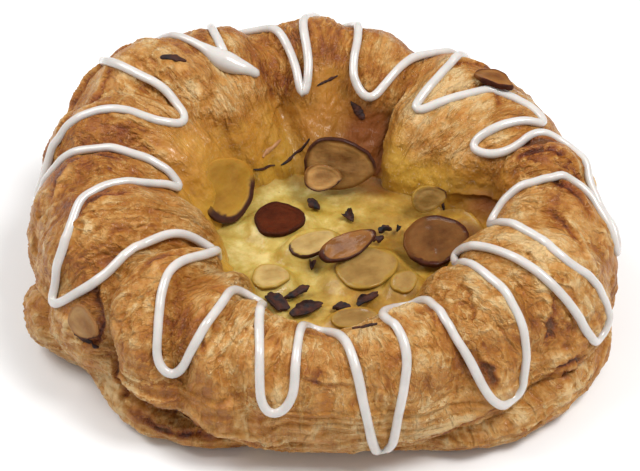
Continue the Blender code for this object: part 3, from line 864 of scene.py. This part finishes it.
def almond_material(look):
    """A slice: grain along it, a darker hollow in its middle, and dark skin where the rim has it."""
    n = Nodes(f"almond_{look}")
    place = n.place()
    grain = n.noise(n.stretched(n.attribute("flat", "Vector"), (0.22, 0.7, 1.0)), 1.0, 4, 0.6)
    cloud = n.noise(place, 200, 4)
    middle = n.attribute("middle")
    dark, light, sunk, gloss = ALMOND_COLOURS[look]
    tone = n.total((grain, 0.3), (cloud, 0.7), (n.remap(middle, 0.55, 0.95), 0.10))
    rim = n.remap(n.total(middle, n.remap(cloud, 0.3, 0.7, -0.1, 0.1)), 0.08, 0.34, 1.0, 0.0)
    flesh = n.mix(rim, n.ramp(tone, [(0.36, light), (0.72, dark)]), sunk)
    skin = n.mix(n.noise(place, 1500, 3), *RIM_SKIN)
    height = n.total(n.noise(place, 1000, 4), (grain, 0.5), (n.remap(middle, 0.35, 0.65), -1.0))
    n.set(Base_Color=n.mix(n.attribute("skin"), flesh, skin))
    n.set(Normal=n.bump(height, 0.0005, 0.9 if look == "skin" else 0.35))
    n.set(Roughness=0.6, Specular_IOR_Level=0.5 * gloss, Coat_Weight=0.8 * gloss, Coat_Roughness=0.08)
    n.set(Subsurface_Weight=0.2, Subsurface_Scale=0.0015)
    return n.material


def skin_bit_material():
    n = Nodes("almond_skin")
    place = n.place()
    n.set(Base_Color=n.ramp(n.noise(place, 600, 4), BIT_TONES))
    n.set(Normal=n.bump(n.noise(place, 1800, 4), 0.0004, 0.6))
    n.set(Roughness=0.6, Specular_IOR_Level=0.2)
    return n.material


def sliver_material():
    n = Nodes("almond_sliver")
    n.set(Base_Color=n.ramp(n.noise(n.place(), 400, 4), SLIVER_TONES))
    n.set(Roughness=0.45, Specular_IOR_Level=0.3)
    return n.material


def browning(theta, phi, places, masks):
    """How brown the crust has baked, 0 to 1, with painted shade added in the folds and just below the edges
    of sheets.
    """
    tone = 0.40 + 0.13 * field(places, 17.0, 2, 41.0) + 0.17 * field(places, 5.0, 3, 43.0)
    # Paler on the lumps, and browner with the painted shadow just below the edges of sheets.
    tone = tone - 0.05 * masks["lumps"] + 0.10 * masks["hollow"]
    # Painted shade: browner in the folds between the lobes.
    tone = tone + 0.18 * np.clip(fold_depth(theta, phi, 1.6) / 4, 0, 1)
    return tone + spots(theta, phi, BROWNED)


def wall_looks(theta, phi, level, uneven):
    """Where the crust is wet, where it is yellow, and where painted shade darkens it in the caves of the
    wall.
    """
    front = ramp(-np.sin(theta), -0.1, 0.35)
    up = np.degrees(phi) + 14 * uneven + spots(theta, phi, WETTED) - WET_RETREAT * front
    yellow = 1 - ramp(level + 3 * uneven, *YELLOW_LEVELS) + spots(theta, phi, YELLOWED)
    return {"wet": ramp(up, *WET_WALL), "yellow": yellow, "cave_shade": spots(theta, phi, CAVE_SHADE_SPOTS)}


def make_crust():
    lowest = -math.asin(ROLL_LEVEL / ROLL_DROP)
    highest = math.pi + math.asin((ROLL_LEVEL - FLOOR_LEVEL) / ROLL_DROP)
    theta, phi = np.meshgrid(whole_turn(COLUMNS), np.linspace(lowest, highest, ROWS))
    bare = surface(theta, phi)
    height, masks = relief(theta, phi, bare)
    outward = normal(theta, phi)
    places = bare + (height + spots(theta, phi, DENTED))[..., None] * outward
    places[..., 2] = np.maximum(places[..., 2], 0)
    looks = {"brown": browning(theta, phi, bare, masks)}
    looks.update(wall_looks(theta, phi, bare[..., 2], field(places, 7.0, 3, 51.0)))
    looks.update({key: masks[key] for key in ("side", "edge", "crease_shadow")})
    laid = unrolled(theta, phi)
    along = np.roll(places, -1, axis=1) - np.roll(places, 1, axis=1)
    outward = unit(np.cross(along, np.gradient(places, axis=0)) + 1e-9 * outward)
    ends = np.array([(*WELL_CENTRE, 0), (*WELL_CENTRE, FLOOR_LEVEL)])
    material = crust_material()
    for quarter in range(QUARTERS):
        columns = COLUMNS // QUARTERS + 1
        part = (np.arange(columns) + quarter * (columns - 1)) % COLUMNS
        points = listed(places[:, part], ends)
        attributes = {"laid": listed(laid[:, part], ends)}
        for key, values in looks.items():
            attributes[key] = np.concatenate([np.clip(values[:, part], 0, 1).ravel(), [0.5, 0.5]])
        normals = listed(outward[:, part], [(0, 0, -1), (0, 0, 1)])
        faces = tube_faces(ROWS, columns, wrapped=False)
        crust = mesh_object(f"pastry_crust_{quarter}", points, faces, material, attributes, normals)
        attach(crust, BODY)
        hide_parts("pastry")


def resampled(step, line, *more):
    """The line, and more lines that run beside it, at even steps along the first."""
    lengths = np.linalg.norm(np.diff(line, axis=0), axis=1)
    along = np.concatenate([[0], np.cumsum(lengths)])
    places = np.linspace(0, along[-1], round(along[-1] / step) + 1)
    return [
        np.stack([np.interp(places, along, column) for column in each.T], -1)
        for each in (line, *more)
    ]


def smoothed(line, reach):
    """The line with each point moved to the mean of its neighbours, reach of them on each side."""
    weights = np.hanning(2 * reach + 3)[1:-1]
    before = 2 * line[:1] - line[reach:0:-1]
    after = 2 * line[-1:] - line[-2 : -reach - 2 : -1]
    longer = np.concatenate([before, line, after])
    columns = [np.convolve(column, weights / weights.sum(), "valid") for column in longer.T]
    return np.stack(columns, -1)


def icing_angles():
    """The zigzag's angles on a smooth curve through its knots."""
    knots = np.radians([knot for swing in SWINGS for knot in swing])
    knots[:, 0] = np.unwrap(knots[:, 0])
    places = surface(knots[:, 0], knots[:, 1])
    chords = np.linalg.norm(np.diff(places, axis=0), axis=1)
    time = np.concatenate([[0], np.cumsum(np.sqrt(chords))])
    slopes = np.zeros_like(knots)
    slopes[1:-1] = (knots[2:] - knots[:-2]) / (time[2:] - time[:-2])[:, None]
    s = np.linspace(0, 1, 24, endpoint=False)[:, None]
    pieces = []
    for i, step in enumerate(np.diff(time)):
        pieces.append(eased(knots[i], knots[i + 1], step * slopes[i], step * slopes[i + 1], s))
    return np.concatenate([*pieces, knots[-1:]])


def icing_line(step):
    """The middle of the bead and its outward direction, at even steps."""
    fine = 0.25
    reach = round(BEAD_EASING / fine)
    line, outward = resampled(fine, *on_dough(*icing_angles().T, BEAD_SAG, 0.0))
    outward = unit(smoothed(outward, reach))
    smooth = smoothed(line, reach)
    sunk = np.sum((line - smooth) * outward, axis=1, keepdims=True)
    smooth += (smoothed(np.maximum(sunk, 0), reach // 3) + BEAD_LIFT) * outward
    return resampled(step, smooth, outward)


def tube(line, across, outward, wide, high, sides):
    """Points and faces of a closed tube round a line, with half its width and height at each point."""
    turn = whole_turn(sides)
    sideways = (wide[:, None] * np.cos(turn))[..., None] * across[:, None]
    upward = (high[:, None] * np.sin(turn))[..., None] * outward[:, None]
    return listed(line[:, None] + sideways + upward, line[[0, -1]]), tube_faces(len(line), sides)


def make_icing():
    step = 0.7
    line, outward = icing_line(step)
    ahead = unit(np.gradient(line, axis=0))
    outward = unit(outward - np.sum(outward * ahead, axis=1)[:, None] * ahead)
    done = np.arange(len(line)) * step
    left = done[::-1]
    swelling = 1 + (BLOB_RADIUS / BEAD_RADIUS - 1) * np.exp(-(((left - BLOB_BACK) / BLOB_LENGTH) ** 2))
    radius = BEAD_RADIUS * swelling * (1 + BEAD_WOBBLE * field(line, 9.0, 2, 61.0))
    rounding = np.clip(np.minimum(done, left) / radius, 0.02, 1)
    radius = radius * np.sqrt(rounding * (2 - rounding))
    points, faces = tube(line, np.cross(ahead, outward), outward, 1.02 * radius, 0.92 * radius, 14)
    icing = mesh_object("icing_drizzle", points, faces, icing_material())
    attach(icing, BODY)
    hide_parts("pastry")


def custard_rise(x, y, level):
    """The level with the custard raised round the slices that lie in it."""
    for name in SUNK:
        (middle_x, middle_y, middle_z), length, width, heading, across = ALMONDS[name][:5]
        turn = math.radians(heading)
        along = ((x - middle_x) * math.cos(turn) + (y - middle_y) * math.sin(turn)) / (length / 2)
        over = ((y - middle_y) * math.cos(turn) - (x - middle_x) * math.sin(turn)) / (width / 2)
        near = 1 - ramp(np.hypot(along, over), 0.9, 1.7)
        target = middle_z + math.sin(math.radians(across)) * over * width / 2 - SLICE_SHOWING
        level = level + near * np.maximum(target - level, 0)
    return level


def make_custard():
    columns, rings = 220, 70
    theta, share = np.meshgrid(whole_turn(columns), np.linspace(1, 0.01, rings))
    radius = around(theta, ROLL, 3) + CUSTARD_REACH
    middle = np.array([*WELL_CENTRE, 0])
    flat = middle + share[..., None] * (ring_points(theta, radius, 0 * theta) - middle)
    x, y = flat[..., 0], flat[..., 1]
    swell = CUSTARD_SWELL * np.cos(0.21 * x + 0.4) * np.cos(0.26 * y)
    level = CUSTARD_LEVEL + swell * (1 - share**4) + CUSTARD_WETTING * share**12
    ripples = 0.5 * field(flat, 7.0, 3, 71.0) + 0.16 * field(flat, 1.8, 2, 73.0)
    top = np.stack([x, y, custard_rise(x, y, level + ripples)], -1)
    foot = FLOOR_LEVEL + CUSTARD_SKIRT
    skirt = top[:1].copy()
    skirt[..., 2] = foot
    ends = [(*WELL_CENTRE, foot), (*WELL_CENTRE, top[-1, :, 2].mean())]
    points = listed(np.concatenate([skirt, top]), ends)
    from_rim = np.concatenate([[1.0], share[:, 0]])[:, None] + 0 * theta[:1]
    # Amber towards the right and along the back rim: partly the custard's own amber, partly painted shade
    # beside the wall.
    amber = ramp(points[:, 0] - 0.3 * points[:, 1], -12, 18)
    amber[:-2] += 0.8 * (ramp(from_rim, 0.80, 0.97) * ramp(np.sin(theta[:1]), -0.2, 0.3)).ravel()
    # Painted shade on the custard under the hollow of the wall.
    deep = 0 * amber
    for shade_x, shade_y, reach in CUSTARD_SHADE_SPOTS:
        deep += np.exp(-((np.hypot(points[:, 0] - shade_x, points[:, 1] - shade_y) / reach) ** 4))
    looks = {"amber": np.clip(amber, 0, 1), "deep": np.clip(deep, 0, 0.85)}
    faces = tube_faces(rings + 1, columns)
    custard = mesh_object("custard_filling", points, faces, custard_material(), looks)
    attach(custard, BODY)
    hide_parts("custard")


def plate_points(length, width, thickness, bend, sides=96, rings=16, wobble=0.06, shift=0.0, far=1.0):
    """A thin egg-shaped plate with a rounded edge, its left half narrowed to the share far.

    Gives its points, and rows of the angle and the share of the way to the rim of each.
    """
    steps = np.concatenate([np.linspace(0.04, 0.94, rings), [0.965, 0.985, 0.996, 1.0]])
    lift = np.sqrt(np.clip(1 - steps**40, 0, 1))
    share = np.concatenate([steps, steps[-2::-1]])
    height = np.concatenate([lift, -lift[-2::-1]])
    a, s = np.meshgrid(whole_turn(sides), share)
    out = 1 + wobble * field(np.stack([np.cos(a), np.sin(a), 0 * a + shift], -1), 0.7, 2)
    x = s * out * np.cos(a)
    y = s * out * np.sin(a) * (1 - 0.22 * np.cos(a)) * np.where(np.sin(a) > 0, far, 1)
    warp = 0.25 * field(np.stack([x, y, 0 * x + shift], -1), 0.9, 2)
    level = height[:, None] * thickness / 2 + bend * (1 - x * x) + warp
    points = np.stack([x * length / 2, y * width / 2, level], -1)
    return listed(points, [(0, 0, thickness / 2 + bend), (0, 0, -thickness / 2 + bend)]), a, s


def plate(name, points, grid, material, looks, middle, heading, tilt):
    """A plate's mesh, tilted across and along its heading, turned to it and moved to its middle."""
    faces = [face[::-1] for face in tube_faces(*grid)]
    piece = mesh_object(name, points, faces, material, looks)
    lean = Euler([math.radians(angle) for angle in (*tilt, 0)]).to_matrix().to_4x4()
    turn = Matrix.Rotation(math.radians(heading), 4, "Z")
    piece.data.transform(Matrix.Translation(Vector(middle) * MILLIMETRE) @ turn @ lean)
    return piece


def rim_skin(stretches, width, angle, share, flat, shift):
    """Where a slice has skin: a band of uneven width along stretches of its rim."""
    skin = 0 * angle
    for at, reach in stretches:
        skin = np.maximum(skin, ramp(reach + 14 - np.abs(off_by(angle, at)), 0, 28))
    width = width + 0.05 * field(flat, 1.6, 2, shift)
    return skin * ramp(share, 1 - width - 0.03, 1 - width)


def make_almonds():
    materials = {look: almond_material(look) for look in sorted({row[6] for row in ALMONDS.values()})}
    for index, (name, row) in enumerate(ALMONDS.items()):
        middle, length, width, heading, across, along, look, stretches = row
        bend = length * (FLAT_BEND if across < 40 else STEEP_BEND)
        far = HALVED.get(name, 1.0)
        points, angle, share = plate_points(length, width, SLICE_THICKNESS, bend, shift=3.0 * index, far=far)
        flat = points[:-2].reshape(*share.shape, 3)
        seen = np.degrees(angle) + heading
        band = rim_skin(stretches, SKIN_WIDTHS.get(name, SKIN_WIDTH), seen, share, flat, 5.0 * index)
        upper = np.where(np.arange(len(share)) < len(share) / 2, 1, -1)
        points[:-2, 2] += (SKIN_THICKNESS * band * upper[:, None]).ravel()
        looks = {"skin": np.concatenate([band.ravel(), [0, 0]])}
        looks["middle"] = np.concatenate([(1 - share**2).ravel(), [1, 1]])
        looks["flat"] = points + (0, 0, 7.0 * index)
        tilt = (across, along)
        piece = plate(name + "_look", points, share.shape, materials[look], looks, middle, heading, tilt)
        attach(piece, BODY)
        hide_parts(name)


def make_skin_bits():
    """The broken bits of skin on the custard: thick chips, curled across their length."""
    material = skin_bit_material()
    for index, (x, y, length, width, heading) in enumerate(SKIN_BITS):
        curl, lean = BIT_CURLS[index % len(BIT_CURLS)]
        points, _, share = plate_points(length, 1.15 * width, 0.6, 0.06 * length, 60, 8, 0.3, 5.0 * index)
        points[:, 2] += curl * (points[:, 1] / (width / 2)) ** 2 + 0.3 * field(points, 1.2, 2, 3.0 * index)
        middle = (x, y, CUSTARD_LEVEL + 0.9)
        piece = plate(f"skin_bit_{index}", points, share.shape, material, None, middle, heading, (lean, 0))
        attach(piece, BODY)
        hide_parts("custard")


def make_slivers():
    """Slivers of skin and almond that stick to the dough, each along a line over its surface."""
    materials = {"skin": skin_bit_material(), "pale": sliver_material()}
    for index, (knots, width, look) in enumerate(SLIVERS):
        time = np.linspace(0, len(knots) - 1, 12 * len(knots))
        angles = [np.interp(time, np.arange(len(knots)), column) for column in np.radians(knots).T]
        line, outward = on_dough(*smoothed(np.stack(angles, -1), 6).T, 1.0, SLIVER_LIFT)
        across = np.cross(unit(np.gradient(line, axis=0)), outward)
        taper = np.sin(math.pi * np.linspace(0.04, 0.96, len(line))) ** 0.5
        half = taper * (1 + 0.6 * field(line, 1.5, 2, 9.0 * index)) * width / 2
        points, faces = tube(line, across, outward, half, np.full(len(line), SLIVER_HEIGHT), 10)
        piece = mesh_object(f"sliver_{index}", points, faces, materials[look])
        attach(piece, BODY)
        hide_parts("pastry")


def make_stage():
    n = Nodes("pale_floor")
    greys = [(0.3, (0.86, 0.86, 0.86)), (0.7, (0.88, 0.88, 0.88))]
    n.set(Base_Color=n.ramp(n.noise(n.place(), 3), greys), Roughness=0.9)
    size, level = 3000.0, -0.05
    corners = [(-size, -size, level), (size, -size, level), (size, size, level), (-size, size, level)]
    floor = mesh_object("floor", corners, [(0, 1, 2, 3)], n.material)
    world = bpy.data.worlds.new("studio")
    bpy.context.scene.world = world
    world.use_nodes = True
    background = world.node_tree.nodes["Background"]
    background.inputs["Color"].default_value = (1, 1, 1, 1)
    background.inputs["Strength"].default_value = 0.48


def make_lights():
    """Two soft lamps above: a key at the right and a fill at the left. Places and sizes are in metres."""
    target = Vector((0, 0, 0.02))
    lamps = {
        "key_softbox": ((0.36, -0.12, 0.70), 0.30, 4.9),
        "fill_softbox": ((-0.45, 0.05, 0.65), 0.40, 3.4),
    }
    for name, (place, size, power) in lamps.items():
        lamp = bpy.data.lights.new(name, "AREA")
        lamp.size = size
        lamp.energy = power
        light = bpy.data.objects.new(name, lamp)
        light.location = place
        light.rotation_euler = (target - light.location).to_track_quat("-Z", "Y").to_euler()
        bpy.context.scene.collection.objects.link(light)


def make_camera():
    """The photograph's camera: 42 degrees above the horizon, 450 mm from the middle of the pastry."""
    elevation = math.radians(42)
    distance = 0.450
    aim = Vector((0, 0, 0.019))
    pixels_per_metre = 5000.0
    picture_width = 640
    camera = bpy.data.cameras.new("camera")
    camera.sensor_width = 36
    camera.lens = pixels_per_metre * distance * camera.sensor_width / picture_width
    camera.clip_start = 0.01
    view = bpy.data.objects.new("camera", camera)
    view.location = aim + distance * Vector((0, -math.cos(elevation), math.sin(elevation)))
    view.rotation_euler = (aim - view.location).to_track_quat("-Z", "Y").to_euler()
    bpy.context.scene.collection.objects.link(view)
    bpy.context.scene.camera = view


make_camera()
make_lights()
make_stage()
make_crust()
make_icing()
make_custard()
make_almonds()
make_skin_bits()
make_slivers()
bpy.context.scene.view_settings.view_transform = "Standard"
